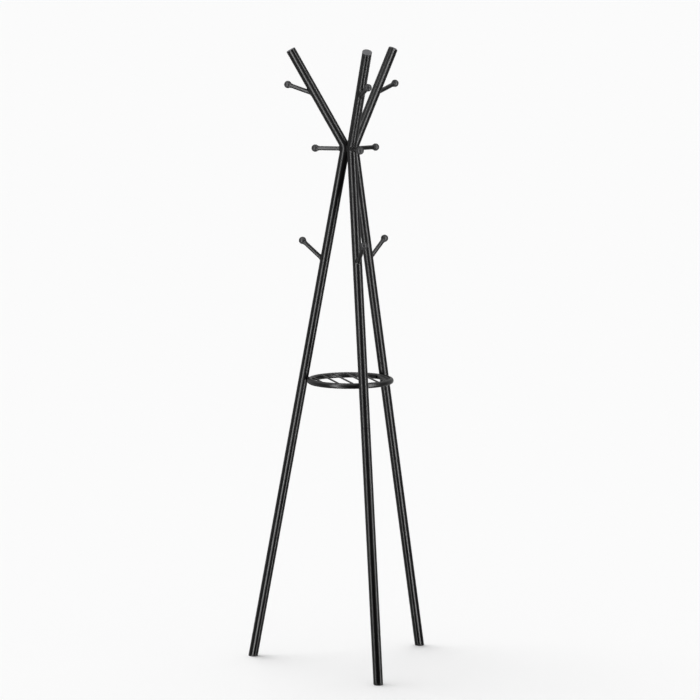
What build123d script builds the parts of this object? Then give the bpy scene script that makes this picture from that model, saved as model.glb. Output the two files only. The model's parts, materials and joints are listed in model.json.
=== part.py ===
from build123d import *
from math import atan2, cos, degrees, radians, sin, sqrt, tan
import os

# Standing coat rack. Three bent steel uprights touch at their bends, where they are
# welded into a crown. Below it they spread into the legs of a tripod, above it they
# lean out as arms. Each upright carries three ball-ended pegs, and a round tube ring
# with a wire deck is screwed to the inner side of the legs.
# Origin: on the tripod's axis, at the floor. +Z is up, the front leg is on -Y.
# Lengths are in millimetres and angles in degrees.

# Overall
total_height = 1750.0
foot_circle_radius = 290.0
azimuths = {"front": 270.0, "right": 30.0, "left": 150.0}

# Uprights: the leg and arm axes would cross at the kink, and a tight bend rounds it
tube_radius = 13.45
tube_wall = 1.2
kink_radius = 14.1
kink_height = 1473.5
arm_lean = 30.5
tube_gap_at_bend = 0.1

# Leg joint, foot and arm cap
joint_height = 700.0
joint_plug_length = 30.0
joint_stud_radius = 5.0
joint_stud_length = 25.0
foot_thickness = 6.0
foot_barrel_length = 22.0
foot_edge_fillet = 1.5
cap_thickness = 3.0
cap_barrel_length = 14.0
cap_edge_fillet = 0.8
plastic_wall = 2.2

# Pegs: the peg's reach is from the tube's axis to the ball's centre, the neck's from there
# back to where the rod meets it
peg_radius = 6.0
peg_reach = 86.2
peg_inner_end = 8.0
peg_stud_radius = 3.0
peg_stud_length = 9.0
ball_radius = 10.5
ball_neck_radius = 6.8
ball_neck_reach = 11.6
ball_neck_fillet = 1.2
top_peg_distance = 168.0
top_peg_rise = 18.5
low_peg_height = 1150.0
low_peg_rise = 41.5

# Shelf ring and deck
ring_radius = 114.7
ring_height = 812.5
ring_tube_radius = 8.0
ring_tube_wall = 1.5
ring_seam_azimuth = 90.0
ring_seam_angle = 0.1
wire_radius = 2.5
wire_drop = 1.0
wire_spacing = 38.0
wire_count = 6

# Shelf screws and rivet nuts (M5)
screw_radius = 2.5
screw_length = 16.0
screw_head_radius = 4.25
screw_head_height = 5.0
screw_socket_radius = 2.3
screw_socket_depth = 2.5
screw_head_seat = 4.85
access_hole_radius = 4.75
nut_flange_radius = 5.0
nut_flange_thickness = 1.2
nut_barrel_radius = 3.5
nut_length = 11.0
nut_bulge_radius = 4.5
nut_bulge_start = 2.3
nut_bulge_length = 2.6

# Crown weld beads
bead_length = 18.0
bead_radius = 2.6
bead_rounding = 2.2
bead_offset = 3.4

# Fits
fit_gap = 0.05
small_chamfer = 0.6
edge_break = 0.35

# Worked out from the above
bore_radius = tube_radius - tube_wall
plug_radius = bore_radius - fit_gap
leg_tilt = degrees(atan2(foot_circle_radius - kink_radius, kink_height))
half_turn = radians((leg_tilt + arm_lean) / 2)
touch_radius = (2 * tube_radius + tube_gap_at_bend) / sqrt(3)
bend_pull_in = sin(radians(leg_tilt)) * tan(half_turn) + cos(radians(leg_tilt)) - 1
bend_radius = (touch_radius - kink_radius) / bend_pull_in
bend_height = (
    kink_height
    - cos(radians(leg_tilt)) * bend_radius * tan(half_turn)
    + sin(radians(leg_tilt)) * bend_radius
)
arm_length = (
    total_height - kink_height - tube_radius * sin(radians(arm_lean))
) / cos(radians(arm_lean))
arm_tube_length = arm_length - cap_thickness
wire_height = ring_height + ring_tube_radius - wire_drop - wire_radius


def radial_plane(azimuth):
    """The upright plane through the origin: local x points outwards, local y up."""
    turn = radians(azimuth)
    return Plane(
        origin=(0, 0, 0),
        x_dir=(cos(turn), sin(turn), 0),
        z_dir=(sin(turn), -cos(turn), 0),
    )


def heading(azimuth, rise):
    """Unit vector pointing outwards at an azimuth, rising above the horizontal."""
    flat = cos(radians(rise))
    turn = radians(azimuth)
    return Vector(flat * cos(turn), flat * sin(turn), sin(radians(rise)))


def place(azimuth, point):
    """The world position of a (radius, height) point at an azimuth."""
    return heading(azimuth, 0) * point[0] + Vector(0, 0, point[1])


def leg_point(height):
    """Radius and height of the leg's axis at a height."""
    return (kink_radius + (kink_height - height) * tan(radians(leg_tilt)), height)


def arm_point(distance):
    """Radius and height of the arm's axis at a distance from the kink."""
    lean = radians(arm_lean)
    return (kink_radius + distance * sin(lean), kink_height + distance * cos(lean))


def upright_axis():
    """The bent axis of one upright, drawn in its radial plane."""
    FilletPolyline(
        leg_point(joint_height),
        (kink_radius, kink_height),
        arm_point(arm_tube_length),
        radius=bend_radius,
    )


def start_plane(path):
    """The plane square to a path at its start."""
    return Plane(origin=path.line @ 0, z_dir=path.line % 0)


def leg_plane(azimuth, height):
    """The plane square to the leg's axis at a height, facing down the leg."""
    return Plane(
        origin=place(azimuth, leg_point(height)),
        z_dir=heading(azimuth, leg_tilt - 90),
    )


def drill(origin, direction, radius, depth):
    """Cut a flat-bottomed hole that starts at origin and runs along direction."""
    onwards = (Align.CENTER, Align.CENTER, Align.MIN)
    with Locations(Plane(origin=origin, z_dir=direction)):
        Cylinder(radius, depth, align=onwards, mode=Mode.SUBTRACT)


def flat_ends(piece):
    """The flat faces of a piece, from the lowest to the highest."""
    return piece.faces().filter_by(GeomType.PLANE).sort_by(Axis.Z)


def break_rim(face):
    """Chamfer the outer edge of an end face."""
    chamfer(face.outer_wire().edges(), edge_break)


def save(part, name):
    """Label a finished piece and write it to its own file."""
    part.label = name
    export_step(part, f"parts/{name}.step")


# Each peg level: where its axis meets the tube's axis, and its rise
peg_levels = {
    "top": (arm_point(top_peg_distance), top_peg_rise),
    "middle": ((touch_radius, bend_height), 0.0),
    "low": (leg_point(low_peg_height), low_peg_rise),
}

# The shelf screws run square to the leg, through the centre of the ring's tube
ring_section = (ring_radius, ring_height)
leg_offset = (leg_point(ring_height)[0] - ring_radius) * cos(radians(leg_tilt))
leg_face = leg_offset - tube_radius

os.makedirs("parts", exist_ok=True)

# Uprights: the upper leg, the bend and the arm are one tube
for side, azimuth in azimuths.items():
    with BuildPart() as upright:
        with BuildLine(radial_plane(azimuth)) as axis_line:
            upright_axis()
        with BuildSketch(start_plane(axis_line)):
            Circle(tube_radius)
            Circle(bore_radius, mode=Mode.SUBTRACT)
        sweep()
        break_rim(flat_ends(upright)[0])
        break_rim(flat_ends(upright)[-1])
        for base, rise in peg_levels.values():
            outward = heading(azimuth, rise)
            start = place(azimuth, base)
            drill(
                start + outward * peg_reach,
                outward * -1,
                peg_radius + fit_gap,
                peg_reach - peg_inner_end,
            )
        drill(
            place(azimuth, ring_section),
            heading(azimuth, leg_tilt),
            nut_barrel_radius + fit_gap,
            leg_offset,
        )
    save(upright.part, f"upright_{side}")

# Lower legs: straight tubes, cut parallel to the floor at the foot
for side, azimuth in azimuths.items():
    with BuildPart() as lower_leg:
        with BuildSketch(leg_plane(azimuth, joint_height)):
            Circle(tube_radius)
            Circle(bore_radius, mode=Mode.SUBTRACT)
        extrude(amount=joint_height / cos(radians(leg_tilt)) + tube_radius)
        split(bisect_by=Plane.XY.offset(foot_thickness), keep=Keep.TOP)
        break_rim(flat_ends(lower_leg)[0])
        break_rim(flat_ends(lower_leg)[-1])
    save(lower_leg.part, f"lower_leg_{side}")

# Leg joints: a plug with a stud in the upper tube, a threaded insert in the lower leg
for side, azimuth in azimuths.items():
    with BuildPart() as joint_plug:
        with BuildSketch(leg_plane(azimuth, joint_height)):
            Circle(plug_radius)
        extrude(amount=-joint_plug_length)
        with BuildSketch(leg_plane(azimuth, joint_height)):
            Circle(joint_stud_radius)
        extrude(amount=joint_stud_length)
        ends = joint_plug.edges().filter_by(GeomType.CIRCLE).sort_by(Axis.Z)
        chamfer([ends[0], ends[-1]], small_chamfer)
    save(joint_plug.part, f"joint_plug_{side}")

    with BuildPart() as joint_insert:
        with BuildSketch(leg_plane(azimuth, joint_height)):
            Circle(plug_radius)
            Circle(joint_stud_radius + fit_gap, mode=Mode.SUBTRACT)
        extrude(amount=joint_plug_length)
        chamfer(
            joint_insert.edges().filter_by(GeomType.CIRCLE).sort_by(SortBy.RADIUS)[-2:],
            small_chamfer,
        )
    save(joint_insert.part, f"joint_insert_{side}")

# Feet: plastic plugs, flat on the floor, as wide as the tube
for side, azimuth in azimuths.items():
    with BuildPart() as foot:
        barrel_top = leg_plane(azimuth, foot_thickness + foot_barrel_length)
        with BuildSketch(barrel_top):
            Circle(tube_radius)
        extrude(amount=foot_thickness + 2 * foot_barrel_length)
        split(bisect_by=Plane.XY.offset(foot_thickness), keep=Keep.BOTTOM)
        split(bisect_by=Plane.XY, keep=Keep.TOP)
        fillet(foot.edges().group_by(Axis.Z)[0], foot_edge_fillet)
        break_rim(flat_ends(foot)[-1])
        barrel_depth = (foot_barrel_length + foot_thickness / 2) / cos(radians(leg_tilt))
        with BuildSketch(barrel_top):
            Circle(plug_radius)
        extrude(amount=barrel_depth)
        with BuildSketch(barrel_top):
            Circle(plug_radius - plastic_wall)
        extrude(amount=barrel_depth - foot_thickness, mode=Mode.SUBTRACT)
    save(foot.part, f"foot_{side}")

# Arm caps: flat plastic plugs, flush with the tube
for side, azimuth in azimuths.items():
    with BuildPart() as arm_cap:
        arm_end = Plane(
            origin=place(azimuth, arm_point(arm_tube_length)),
            z_dir=heading(azimuth, 90 - arm_lean),
        )
        with BuildSketch(arm_end):
            Circle(tube_radius)
        extrude(amount=cap_thickness)
        break_rim(flat_ends(arm_cap)[0])
        fillet(flat_ends(arm_cap)[-1].edges(), cap_edge_fillet)
        with BuildSketch(arm_end):
            Circle(plug_radius)
            Circle(plug_radius - plastic_wall, mode=Mode.SUBTRACT)
        extrude(amount=-cap_barrel_length)
    save(arm_cap.part, f"arm_cap_{side}")

# Pegs, welded into the tubes, and the balls screwed on their studs
for level, (base, rise) in peg_levels.items():
    for side, azimuth in azimuths.items():
        outward = heading(azimuth, rise)
        start = place(azimuth, base)
        centre = start + outward * peg_reach
        shoulder = centre - outward * ball_neck_reach

        with BuildPart() as peg:
            with BuildSketch(Plane(origin=start + outward * peg_inner_end, z_dir=outward)):
                Circle(peg_radius)
            extrude(amount=peg_reach - ball_neck_reach - peg_inner_end)
            with BuildSketch(Plane(origin=shoulder, z_dir=outward)):
                Circle(peg_stud_radius)
            extrude(amount=peg_stud_length)
            tip = peg.faces().sort_by(Axis(start, outward))[-1]
            chamfer(tip.edges(), small_chamfer)
        save(peg.part, f"{level}_peg_{side}")

        with BuildPart() as ball:
            side_on = Plane(origin=centre, x_dir=outward, z_dir=radial_plane(azimuth).z_dir)
            with BuildSketch(side_on) as profile:
                Circle(ball_radius)
                Rectangle(ball_neck_reach, 2 * ball_neck_radius, align=(Align.MAX, Align.CENTER))
                fillet(profile.vertices().sort_by(Axis.X)[-2:], ball_neck_fillet)
                chamfer(profile.vertices().sort_by(Axis.X)[:2], edge_break)
                split(bisect_by=Plane.XZ, keep=Keep.TOP)
            revolve(axis=Axis(centre, outward))
            drill(shoulder, outward, peg_stud_radius + fit_gap, peg_stud_length + 1)
        save(ball.part, f"{level}_ball_{side}")

# Shelf ring: a rolled tube whose ends meet at the back, drilled at each leg
with BuildPart() as shelf_ring:
    with BuildSketch(radial_plane(ring_seam_azimuth)):
        with Locations(ring_section):
            Circle(ring_tube_radius)
            Circle(ring_tube_radius - ring_tube_wall, mode=Mode.SUBTRACT)
    revolve(axis=Axis.Z, revolution_arc=360 - ring_seam_angle)
    for azimuth in azimuths.values():
        outward = heading(azimuth, leg_tilt)
        section = place(azimuth, ring_section)
        drill(section, outward, screw_radius + fit_gap, 2 * ring_tube_radius)
        drill(section, outward * -1, access_hole_radius, 2 * ring_tube_radius)
save(shelf_ring.part, "shelf_ring")

# Deck wires, coped to the inner side of the ring
for number in range(wire_count):
    x = (number - (wire_count - 1) / 2) * wire_spacing
    reach = sqrt((ring_radius - ring_tube_radius / 2) ** 2 - x**2)
    with BuildPart() as wire:
        with BuildSketch(Plane.XZ.offset(-reach)):
            with Locations((x, wire_height)):
                Circle(wire_radius)
        extrude(amount=2 * reach)
        with BuildSketch(Plane.XZ):
            with Locations(ring_section):
                Circle(ring_tube_radius + fit_gap)
        revolve(axis=Axis.Z, mode=Mode.SUBTRACT)
    save(wire.part, f"shelf_wire_{number + 1}")

# Shelf fasteners: the screw's head sits inside the ring's tube
for side, azimuth in azimuths.items():
    outward = heading(azimuth, leg_tilt)
    section = place(azimuth, ring_section)

    with BuildPart() as screw:
        seat = Plane(origin=section + outward * screw_head_seat, z_dir=outward)
        with BuildSketch(seat):
            Circle(screw_head_radius)
        extrude(amount=-screw_head_height)
        with BuildSketch(seat):
            Circle(screw_radius)
        extrude(amount=screw_length)
        with BuildSketch(seat.offset(-screw_head_height)):
            RegularPolygon(screw_socket_radius, 6)
        extrude(amount=screw_socket_depth, mode=Mode.SUBTRACT)
    save(screw.part, f"shelf_screw_{side}")

    with BuildPart() as rivet_nut:
        flange_back = Plane(origin=section + outward * (leg_face - fit_gap), z_dir=outward)
        with BuildSketch(flange_back):
            Circle(nut_flange_radius)
        extrude(amount=-nut_flange_thickness)
        with BuildSketch(flange_back):
            Circle(nut_barrel_radius)
        extrude(amount=nut_length)
        with BuildSketch(flange_back.offset(nut_bulge_start)):
            Circle(nut_bulge_radius)
        extrude(amount=nut_bulge_length)
        drill(section, outward, screw_radius + fit_gap, leg_offset + nut_length)
    save(rivet_nut.part, f"rivet_nut_{side}")

# Crown weld: a bead in each groove between two uprights, at the height of the bend
with BuildPart() as crown_weld:
    with BuildSketch(Plane.XY.offset(bend_height - bead_length / 2)):
        with PolarLocations(touch_radius / 2 + bead_offset, 3, start_angle=90):
            Circle(bead_radius)
    extrude(amount=bead_length)
    fillet(crown_weld.edges().filter_by(GeomType.CIRCLE), bead_rounding)
    for azimuth in azimuths.values():
        with BuildLine(radial_plane(azimuth)) as axis_line:
            upright_axis()
        with BuildSketch(start_plane(axis_line)):
            Circle(tube_radius + fit_gap / 2)
        sweep(mode=Mode.SUBTRACT)
save(crown_weld.part, "crown_weld")
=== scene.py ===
"""Looks of the standing coat rack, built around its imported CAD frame. Lengths are in metres."""

import json
import math

import bmesh
import bpy
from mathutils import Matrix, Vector
from mathutils.bvhtree import BVHTree


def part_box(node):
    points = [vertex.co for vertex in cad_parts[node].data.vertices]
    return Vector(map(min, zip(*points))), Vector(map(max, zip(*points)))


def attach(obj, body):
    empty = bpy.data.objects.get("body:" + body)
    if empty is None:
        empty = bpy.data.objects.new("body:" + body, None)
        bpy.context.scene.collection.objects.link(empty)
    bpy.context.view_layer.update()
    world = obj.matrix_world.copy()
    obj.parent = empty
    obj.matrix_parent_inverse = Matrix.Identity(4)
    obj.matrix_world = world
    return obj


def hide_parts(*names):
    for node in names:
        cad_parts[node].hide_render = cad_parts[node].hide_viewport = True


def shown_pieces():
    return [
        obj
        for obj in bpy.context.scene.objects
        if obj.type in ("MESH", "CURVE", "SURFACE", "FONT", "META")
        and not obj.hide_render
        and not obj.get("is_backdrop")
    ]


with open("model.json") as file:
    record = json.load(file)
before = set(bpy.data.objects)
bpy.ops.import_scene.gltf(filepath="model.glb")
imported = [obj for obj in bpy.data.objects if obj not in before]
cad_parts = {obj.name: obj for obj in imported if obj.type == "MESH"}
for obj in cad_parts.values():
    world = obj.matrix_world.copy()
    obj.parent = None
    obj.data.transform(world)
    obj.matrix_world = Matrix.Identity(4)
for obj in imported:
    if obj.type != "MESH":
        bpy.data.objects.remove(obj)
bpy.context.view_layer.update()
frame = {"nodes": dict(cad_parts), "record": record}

scene = bpy.context.scene
scene.view_settings.view_transform = "Standard"
scene.view_settings.look = "None"

SIDES = ("front", "right", "left")
PEG_LEVELS = ("top", "middle", "low")

# Camera
CAMERA_AZIMUTH = -15.53
CAMERA_DISTANCE = 8.344
CAMERA_HEIGHT = 1.983
CAMERA_PITCH = math.radians(7.40)
CAMERA_LENS = 153.1
CAMERA_SENSOR = 36.0
CAMERA_SHIFT = -0.0004
CAMERA_CLIP_END = 400.0

# Floor and the sun that lights only the floor
FLOOR_SIZE = 900.0
FLOOR_COLOUR = (0.92, 0.92, 0.92, 1)
FLOOR_ROUGHNESS = 0.9
SUN_POWER = 1.48
SUN_ANGLE = math.radians(50)
SUN_TURN = (math.radians(-20), math.radians(-12), 0)

# World: the white that the camera sees, and the glow that lights the scene from all round
BACKDROP = 0.985
FRONT_GLOW = 0.02
BACK_GLOW = 0.5
BACK_GLOW_EDGES = (-0.35, 0.6)
ABOVE_GLOW = 1.1
ABOVE_GLOW_EDGES = (0.45, 0.95)

# Softboxes: name, azimuth, distance from the rack's axis, azimuth that it shines towards, radiance
STRIPS = (
    ("strip_left", -55, 0.88, 180, 9.0),
    ("strip_right", 40, 0.92, 163, 11.0),
)
STRIP_WIDTH = 0.34
STRIP_HEIGHT = 3.6
STRIP_CENTRE = 1.0

# Finishes: how often a noise varies in a metre, the depth of its bump, and the span of it that is used
COAT_CLOUD = 9.0
COAT_PEEL = 420.0
COAT_PEEL_DEPTH = 0.000007
COAT_GRAIN = 2600.0
COAT_GRAIN_DEPTH = 0.000003
PLASTIC_CLOUD = 30.0
PLASTIC_SPARK = 1900.0
PLASTIC_SPARK_DEPTH = 0.000006
ZINC_MOTTLE = 260.0
ZINC_MOTTLE_DEPTH = 0.00002
ZINC_DARK = (0.035, 0.035, 0.038)
ZINC_LIGHT = (0.055, 0.055, 0.060)
COLOUR_SPAN = (0.35, 0.65)
GLOSS_SPAN = (0.30, 0.70)
BLUE_TINT = 1.05

# The mix node's colour sockets share their names with its number sockets, so they go by index
MIX_COLOUR_A = 6
MIX_COLOUR_B = 7
MIX_COLOUR_RESULT = 2

# All beads
BEAD_STEPS = 72
BEAD_PROFILE = 8
BEAD_SINK = 0.0003

# Fillet welds: the leg swells slowly round the rod, and fine ripples cross the bead's face
PEG_WELD = 0.0030
DECK_WELD = 0.0014
FILLET_SWELL = 0.06
FILLET_SWELL_WAVES = 3
FILLET_WOBBLE = 0.03
FILLET_WOBBLE_WAVES = 7
FILLET_RIPPLE = 0.04
FILLET_RIPPLE_WAVES = 24
FILLET_RIPPLE_SLANT = 2

# Groove welds of the crown, rippled along the groove. Each lies halfway between two uprights.
GROOVE_AZIMUTHS = (60, 180, 300)
GROOVE_ROWS = 60
GROOVE_LENGTH = 0.026
GROOVE_HALF_WIDTH = 0.0026
GROOVE_END_SIZE = 0.2
GROOVE_RISE = 0.0003
GROOVE_RIPPLE = 0.00016
GROOVE_RIPPLE_PITCH = 0.0020
GROOVE_RIPPLE_BOW = 0.0008
GROOVE_EDGE_DEPTH = 0.0010
GROOVE_MIDDLE_DEPTH = 0.0030
OUTSIDE_CROWN = 0.08

# Seam weld of the shelf ring
SEAM_HALF_WIDTH = 0.0022
SEAM_HEIGHT = 0.0006
SEAM_RIPPLE = 0.0001
SEAM_RIPPLE_WAVES = 20
SEAM_RIPPLE_BOW = 1.5
SEAM_SWELL = 0.08
SEAM_SWELL_WAVES = 5

# Parting line of a moulded ball: it ends where the ball's neck begins.
# The profile goes across the line in half widths, and out from the ball in heights.
PARTING_HALF_WIDTH = 0.0003
PARTING_HEIGHT = 0.00012
PARTING_REACH = math.radians(134)
PARTING_PROFILE = ((-1, 0), (-0.4, 1), (0.4, 1), (1, 0), (1, -2), (-1, -2))


def compass(azimuth, distance, height):
    """A point at a compass azimuth in degrees: 0 is in front (-Y), 90 is to the right (+X)."""
    turn = math.radians(azimuth)
    return Vector((distance * math.sin(turn), -distance * math.cos(turn), height))


def add_node(tree, kind, **settings):
    """A new node of a kind in a material's or the world's tree."""
    node = tree.nodes.new(kind)
    for key, value in settings.items():
        setattr(node, key, value)
    return node


# ---------------------------------------------------------------- materials


class Finish:
    """A material's node tree, with short calls for the few nodes that the finishes need."""

    def __init__(self, name):
        self.material = bpy.data.materials.new(name)
        self.material.use_nodes = True
        self.tree = self.material.node_tree
        self.shader = self.tree.nodes["Principled BSDF"]
        self.place = add_node(self.tree, "ShaderNodeTexCoord").outputs["Object"]

    def link(self, source, target):
        self.tree.links.new(source, target)

    def noise(self, scale, detail, roughness=0.5):
        """Noise that varies `scale` times a metre."""
        node = add_node(self.tree, "ShaderNodeTexNoise")
        node.inputs["Scale"].default_value = scale
        node.inputs["Detail"].default_value = detail
        node.inputs["Roughness"].default_value = roughness
        self.link(self.place, node.inputs["Vector"])
        return node.outputs["Fac"]

    def remap(self, value, span, start=0.0, end=1.0):
        """Maps a span of a value to start..end, clamped."""
        node = add_node(self.tree, "ShaderNodeMapRange")
        self.link(value, node.inputs["Value"])
        node.inputs["From Min"].default_value = span[0]
        node.inputs["From Max"].default_value = span[1]
        node.inputs["To Min"].default_value = start
        node.inputs["To Max"].default_value = end
        return node.outputs["Result"]

    def mottled(self, noise, dark, light):
        """A colour that drifts between two with a noise."""
        node = add_node(self.tree, "ShaderNodeMix", data_type="RGBA")
        self.link(self.remap(noise, COLOUR_SPAN), node.inputs["Factor"])
        node.inputs[MIX_COLOUR_A].default_value = (*dark, 1.0)
        node.inputs[MIX_COLOUR_B].default_value = (*light, 1.0)
        return node.outputs[MIX_COLOUR_RESULT]

    def gloss(self, noise, smooth, rough):
        """A roughness that drifts between two with a noise."""
        return self.remap(noise, GLOSS_SPAN, smooth, rough)

    def bump(self, height, depth, under=None):
        """A bump of a height, given its full depth in metres."""
        node = add_node(self.tree, "ShaderNodeBump")
        node.inputs["Distance"].default_value = depth
        self.link(height, node.inputs["Height"])
        if under is not None:
            self.link(under, node.inputs["Normal"])
        return node.outputs["Normal"]

    def shade(self, colour, roughness, normal):
        """Gives the shader its inputs, and returns the finished material."""
        self.link(colour, self.shader.inputs["Base Color"])
        self.link(roughness, self.shader.inputs["Roughness"])
        self.link(normal, self.shader.inputs["Normal"])
        return self.material


def powder_coat(name, dark, light, smooth, rough):
    """Black powder coat: an orange-peel skin with a fine grain, a little uneven in gloss."""
    finish = Finish(name)
    cloud = finish.noise(COAT_CLOUD, detail=3.0)
    peel = finish.noise(COAT_PEEL, detail=1.0)
    grain = finish.noise(COAT_GRAIN, detail=2.0)
    skin = finish.bump(peel, COAT_PEEL_DEPTH)
    skin = finish.bump(grain, COAT_GRAIN_DEPTH, under=skin)
    colour = finish.mottled(cloud, dark, light)
    return finish.shade(colour, finish.gloss(cloud, smooth, rough), skin)


def moulded_plastic(name, dark, light, smooth, rough):
    """Black moulded plastic: a finely sparked skin with cloudy gloss."""
    finish = Finish(name)
    cloud = finish.noise(PLASTIC_CLOUD, detail=3.0)
    spark = finish.noise(PLASTIC_SPARK, detail=3.0, roughness=0.6)
    skin = finish.bump(spark, PLASTIC_SPARK_DEPTH)
    colour = finish.mottled(cloud, dark, light)
    return finish.shade(colour, finish.gloss(cloud, smooth, rough), skin)


def black_zinc(name, smooth, rough):
    """Black zinc plate with a faint bluish mottle."""
    finish = Finish(name)
    mottle = finish.noise(ZINC_MOTTLE, detail=4.0)
    skin = finish.bump(mottle, ZINC_MOTTLE_DEPTH)
    finish.shader.inputs["Metallic"].default_value = 1.0
    colour = finish.mottled(mottle, ZINC_DARK, ZINC_LIGHT)
    return finish.shade(colour, finish.gloss(mottle, smooth, rough), skin)


def grey(value):
    """A near-black with the faint blue of black paint."""
    return (value, value, value * BLUE_TINT)


# Each finish has its darkest and lightest colour, then its lowest and highest roughness
finishes = {
    "frame_tube": powder_coat("tube_powder_coat", grey(0.0012), grey(0.0020), 0.28, 0.34),
    "peg_rod": powder_coat("peg_powder_coat", grey(0.0026), grey(0.0040), 0.32, 0.38),
    "shelf_metal": powder_coat("shelf_powder_coat", grey(0.0022), grey(0.0034), 0.28, 0.36),
    "ball": moulded_plastic("ball_plastic", grey(0.014), grey(0.020), 0.36, 0.44),
    "cap": moulded_plastic("cap_plastic", grey(0.074), grey(0.090), 0.42, 0.50),
    "foot": moulded_plastic("foot_plastic", grey(0.004), grey(0.007), 0.36, 0.46),
    "fastener": black_zinc("black_zinc", 0.28, 0.42),
}

slot_of = {entry["node"]: entry["material_slot"] for entry in frame["record"]["subparts"]}
for name, node in frame["nodes"].items():
    node.data.materials.clear()
    node.data.materials.append(finishes[slot_of[name]])


# -------------------------------------------------- welds and parting lines


def surface_of(*names):
    """A tree of CAD nodes' faces, to find where a line meets them."""
    points = []
    faces = []
    for name in names:
        mesh = frame["nodes"][name].data
        first = len(points)
        points += [vertex.co.copy() for vertex in mesh.vertices]
        faces += [[first + index for index in face.vertices] for face in mesh.polygons]
    return BVHTree.FromPolygons(points, faces)


def spread(count):
    """Even steps from -1 to 1, both ends included."""
    return [2 * step / count - 1 for step in range(count + 1)]


def add_piece(name, loops, slot, capped=False):
    """A closed mesh through loops of points: the last joins the first, or both ends are capped."""
    rows = len(loops)
    count = len(loops[0])
    faces = []
    for row in range(rows - 1 if capped else rows):
        for column in range(count):
            here = row * count
            there = (row + 1) % rows * count
            beside = (column + 1) % count
            faces.append((here + column, here + beside, there + beside, there + column))
    if capped:
        faces.append(tuple(range(count)))
        faces.append(tuple(range((rows - 1) * count, rows * count)))
    mesh = bpy.data.meshes.new(name)
    mesh.from_pydata([point for loop in loops for point in loop], [], faces)
    shape = bmesh.new()
    shape.from_mesh(mesh)
    bmesh.ops.recalc_face_normals(shape, faces=shape.faces)
    for face in shape.faces:
        face.smooth = True
    shape.to_mesh(mesh)
    shape.free()
    mesh.materials.append(finishes[slot])
    piece = bpy.data.objects.new(name, mesh)
    scene.collection.objects.link(piece)
    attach(piece, "root")
    return piece


def add_fillet_weld(name, surface, rod_point, rod_axis, rod_radius, width, slot, top=math.inf):
    """A concave, slightly rippled bead round a rod, where the rod comes out of a surface.

    The rays that find the surface start at the rod's point, and no higher than `top`.
    """
    side = rod_axis.orthogonal().normalized()
    up = rod_axis.cross(side)
    loops = []
    for step in range(BEAD_STEPS):
        turn = 2 * math.pi * step / BEAD_STEPS
        outward = side * math.cos(turn) + up * math.sin(turn)
        swell = FILLET_SWELL * math.sin(FILLET_SWELL_WAVES * turn)
        wobble = FILLET_WOBBLE * math.sin(FILLET_WOBBLE_WAVES * turn)
        leg = width * (1 + swell + wobble)
        loop = []
        for row in range(BEAD_PROFILE + 1):
            along = row / BEAD_PROFILE
            start = rod_point + outward * (rod_radius + BEAD_SINK + leg * along)
            start.z = min(start.z, top)
            foot = surface.ray_cast(start, -rod_axis)[0]
            wave = math.sin(FILLET_RIPPLE_WAVES * turn + FILLET_RIPPLE_SLANT * along)
            ripple = FILLET_RIPPLE * width * wave * math.sin(math.pi * along)
            loop.append(foot + rod_axis * (leg * (1 - along) ** 2 + ripple))
            if row == 0:
                root = foot - outward * 2 * BEAD_SINK
        loop.append(foot - rod_axis * BEAD_SINK)
        loop.append(root - rod_axis * BEAD_SINK)
        loop.append(root + rod_axis * leg)
        loops.append(loop)
    add_piece(name, loops, slot)


def add_groove_weld(name, surface, azimuth, height):
    """A rippled bead that lies in the groove between two uprights."""
    outward = compass(azimuth, 1.0, 0.0)
    across = Vector((-outward.y, outward.x, 0.0))

    def groove(offset, level):
        """How far out the uprights' surface is, beside the middle of the groove."""
        start = outward * OUTSIDE_CROWN + across * offset + Vector((0, 0, level))
        return surface.ray_cast(start, -outward)[0].dot(outward)

    loops = []
    for along in spread(GROOVE_ROWS):
        level = height + GROOVE_LENGTH / 2 * along
        taper = max(math.sqrt(1 - along**2), GROOVE_END_SIZE)
        width = GROOVE_HALF_WIDTH * taper
        edge = (groove(width, level) + groove(-width, level)) / 2
        loop = []
        for share in spread(BEAD_PROFILE):
            wave = 2 * math.pi * (level + GROOVE_RIPPLE_BOW * share**2) / GROOVE_RIPPLE_PITCH
            crest = GROOVE_RISE * taper + GROOVE_RIPPLE * math.sin(wave)
            rise = crest * (1 - share**2) - BEAD_SINK / 2
            loop.append(outward * (edge + rise) + across * width * share + Vector((0, 0, level)))
        for share in reversed(spread(BEAD_PROFILE)):
            drop = GROOVE_EDGE_DEPTH + GROOVE_MIDDLE_DEPTH * taper * (1 - share**2)
            loop.append(outward * (edge - drop) + across * width * share + Vector((0, 0, level)))
        loops.append(loop)
    return add_piece(name, loops, "frame_tube", capped=True)


def add_seam_weld(name, centre, radius):
    """The butt weld round the shelf ring's tube, where the ends of the tube meet."""
    loops = []
    for step in range(BEAD_STEPS):
        turn = 2 * math.pi * step / BEAD_STEPS
        outward = Vector((0, math.cos(turn), math.sin(turn)))
        swell = 1 + SEAM_SWELL * math.sin(SEAM_SWELL_WAVES * turn)
        loop = []
        for share in spread(BEAD_PROFILE):
            ripple = SEAM_RIPPLE * math.sin(SEAM_RIPPLE_WAVES * turn + SEAM_RIPPLE_BOW * share**2)
            height = (SEAM_HEIGHT + ripple) * (1 - share**2) - BEAD_SINK / 4
            offset = SEAM_HALF_WIDTH * swell * share
            loop.append(centre + outward * (radius + height) + Vector((offset, 0, 0)))
        for share in (1, -1):
            offset = SEAM_HALF_WIDTH * share
            loop.append(centre + outward * (radius - 2 * BEAD_SINK) + Vector((offset, 0, 0)))
        loops.append(loop)
    add_piece(name, loops, "shelf_metal")


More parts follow.
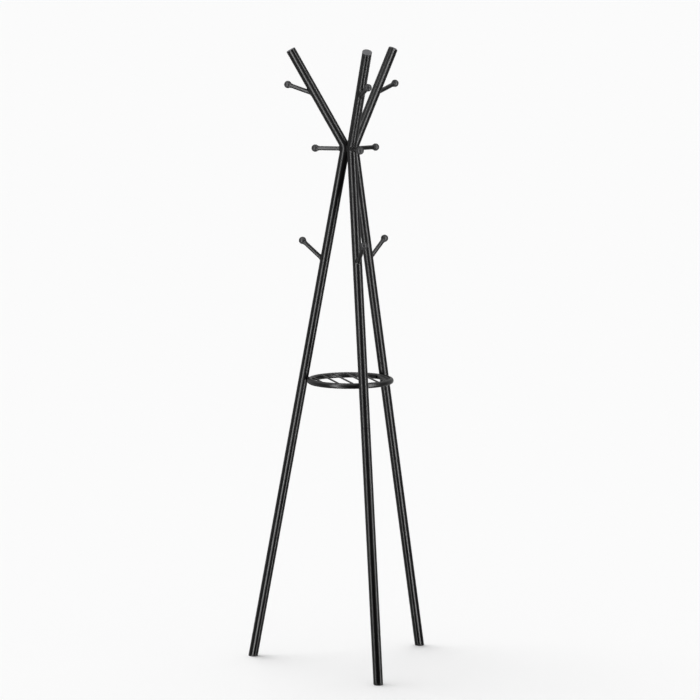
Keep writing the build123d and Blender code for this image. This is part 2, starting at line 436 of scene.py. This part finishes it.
def add_parting_line(name, ball, rod_point, rod_axis, radius):
    """The fine raised line round a moulded ball, in a plane that holds the peg's axis."""
    points = [vertex.co for vertex in frame["nodes"][ball].data.vertices]
    tip = max((point - rod_point).dot(rod_axis) for point in points)
    centre = rod_point + rod_axis * (tip - radius)
    side = rod_axis.cross(Vector((0, 0, 1))).normalized()
    across = rod_axis.cross(side)
    loops = []
    for share_of_reach in spread(BEAD_STEPS):
        turn = PARTING_REACH * share_of_reach
        outward = rod_axis * math.cos(turn) + side * math.sin(turn)
        loop = []
        for share, height in PARTING_PROFILE:
            level = outward * (radius + PARTING_HEIGHT * height)
            loop.append(centre + level + across * PARTING_HALF_WIDTH * share)
        loops.append(loop)
    add_piece(name, loops, "ball", capped=True)


def radius_of(node):
    """The radius of a rod or ball that lies square to X."""
    low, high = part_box(node)
    return (high.x - low.x) / 2


mounts = {mount["name"]: mount for mount in frame["record"]["mounts"]}
peg_radius = radius_of("middle_peg_front")
ball_radius = radius_of("middle_ball_front")
for side in SIDES:
    upright = surface_of(f"upright_{side}")
    for level in PEG_LEVELS:
        peg = mounts[f"{level}_peg_{side}"]
        point = Vector(peg["pos_m"])
        axis = Vector(peg["axis"]).normalized()
        weld_name = f"{level}_peg_weld_{side}"
        add_fillet_weld(weld_name, upright, point, axis, peg_radius, PEG_WELD, "frame_tube")
        ball = f"{level}_ball_{side}"
        add_parting_line(f"{ball}_parting_line", ball, point, axis, ball_radius)

crown = surface_of(*(f"upright_{side}" for side in SIDES))
crown_height = mounts["middle_peg_front"]["pos_m"][2]
crown_welds = [
    add_groove_weld(f"crown_weld_{number}", crown, azimuth, crown_height)
    for number, azimuth in enumerate(GROOVE_AZIMUTHS, start=1)
]
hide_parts("crown_weld")

ring_low, ring_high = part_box("shelf_ring")
ring_tube = (ring_high.z - ring_low.z) / 2
ring_seam = Vector((0, ring_high.y - ring_tube, ring_low.z + ring_tube))
add_seam_weld("shelf_ring_weld", ring_seam, ring_tube)

ring = surface_of("shelf_ring")
wires = sorted(name for name in frame["nodes"] if name.startswith("shelf_wire_"))
for number, wire in enumerate(wires):
    low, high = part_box(wire)
    middle = (low + high) / 2
    middle.y = 0
    for end, inward in (("front", 1), ("back", -1)):
        add_fillet_weld(
            f"deck_weld_{number + 1}_{end}",
            ring,
            middle,
            Vector((0, inward, 0)),
            (high.z - low.z) / 2,
            DECK_WELD,
            "shelf_metal",
            top=ring_high.z - BEAD_SINK,
        )


# ------------------------------------------------------------------- studio


def add_floor():
    """A wide, matt, pale floor that shows in no reflection."""
    mesh = bpy.data.meshes.new("studio_floor")
    half = FLOOR_SIZE / 2
    corners = [(-half, -half, 0), (half, -half, 0), (half, half, 0), (-half, half, 0)]
    mesh.from_pydata(corners, [], [(0, 1, 2, 3)])
    floor = bpy.data.objects.new("studio_floor", mesh)
    scene.collection.objects.link(floor)
    material = bpy.data.materials.new("pale_floor")
    material.use_nodes = True
    shader = material.node_tree.nodes["Principled BSDF"]
    shader.inputs["Base Color"].default_value = FLOOR_COLOUR
    shader.inputs["Roughness"].default_value = FLOOR_ROUGHNESS
    shader.inputs["Specular IOR Level"].default_value = 0.0
    mesh.materials.append(material)
    floor.visible_glossy = False
    floor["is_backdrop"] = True
    return floor


def add_world():
    """White to the camera. As light it is bright above and behind, and dim at the front."""
    world = bpy.data.worlds.new("studio")
    scene.world = world
    world.use_nodes = True
    tree = world.node_tree
    tree.nodes.clear()

    place = add_node(tree, "ShaderNodeTexCoord")
    split = add_node(tree, "ShaderNodeSeparateXYZ")
    tree.links.new(place.outputs["Generated"], split.inputs[0])

    def ramp(value, edges, start, end):
        node = add_node(tree, "ShaderNodeMapRange", interpolation_type="SMOOTHSTEP")
        tree.links.new(value, node.inputs["Value"])
        node.inputs["From Min"].default_value = edges[0]
        node.inputs["From Max"].default_value = edges[1]
        node.inputs["To Min"].default_value = start
        node.inputs["To Max"].default_value = end
        return node.outputs["Result"]

    back = ramp(split.outputs["Y"], BACK_GLOW_EDGES, FRONT_GLOW, BACK_GLOW)
    above = ramp(split.outputs["Z"], ABOVE_GLOW_EDGES, 0.0, ABOVE_GLOW)
    total = add_node(tree, "ShaderNodeMath", operation="ADD")
    tree.links.new(back, total.inputs[0])
    tree.links.new(above, total.inputs[1])

    glow = add_node(tree, "ShaderNodeBackground")
    tree.links.new(total.outputs[0], glow.inputs["Strength"])
    backdrop = add_node(tree, "ShaderNodeBackground")
    backdrop.inputs["Color"].default_value = (1, 1, 1, 1)
    backdrop.inputs["Strength"].default_value = BACKDROP
    rays = add_node(tree, "ShaderNodeLightPath")
    mix = add_node(tree, "ShaderNodeMixShader")
    out = add_node(tree, "ShaderNodeOutputWorld")
    tree.links.new(rays.outputs["Is Camera Ray"], mix.inputs[0])
    tree.links.new(glow.outputs[0], mix.inputs[1])
    tree.links.new(backdrop.outputs[0], mix.inputs[2])
    tree.links.new(mix.outputs[0], out.inputs["Surface"])


def add_strip(name, azimuth, distance, towards, radiance):
    """A tall softbox beside the rack, hidden from the camera."""
    light = bpy.data.lights.new(name, "AREA")
    light.shape = "RECTANGLE"
    light.size = STRIP_WIDTH
    light.size_y = STRIP_HEIGHT
    light.energy = radiance * math.pi * STRIP_WIDTH * STRIP_HEIGHT
    strip = bpy.data.objects.new(name, light)
    strip.location = compass(azimuth, distance, STRIP_CENTRE)
    strip.rotation_euler = compass(towards, 1.0, 0.0).to_track_quat("-Z", "Y").to_euler()
    strip.visible_camera = False
    scene.collection.objects.link(strip)
    return strip


def add_sun():
    sun = bpy.data.objects.new("soft_sun", bpy.data.lights.new("soft_sun", "SUN"))
    sun.data.energy = SUN_POWER
    sun.data.angle = SUN_ANGLE
    sun.rotation_euler = SUN_TURN
    scene.collection.objects.link(sun)
    return sun


def light_only(name, lights, lit):
    """Makes some lights reach only the objects that are listed."""
    receivers = bpy.data.collections.new(name)
    for thing in lit:
        receivers.objects.link(thing)
    for light in lights:
        light.light_linking.receiver_collection = receivers


def add_camera():
    camera = bpy.data.objects.new("camera", bpy.data.cameras.new("camera"))
    scene.collection.objects.link(camera)
    camera.data.lens = CAMERA_LENS
    camera.data.sensor_width = CAMERA_SENSOR
    camera.data.shift_x = CAMERA_SHIFT
    camera.data.clip_end = CAMERA_CLIP_END
    camera.location = compass(CAMERA_AZIMUTH, CAMERA_DISTANCE, CAMERA_HEIGHT)
    camera.rotation_euler = (math.pi / 2 - CAMERA_PITCH, 0, math.radians(CAMERA_AZIMUTH))
    scene.camera = camera


add_camera()
floor = add_floor()
add_world()
strips = [add_strip(*strip) for strip in STRIPS]
light_only("floor_only", [add_sun()], [floor])
light_only("rack_only", strips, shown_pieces())
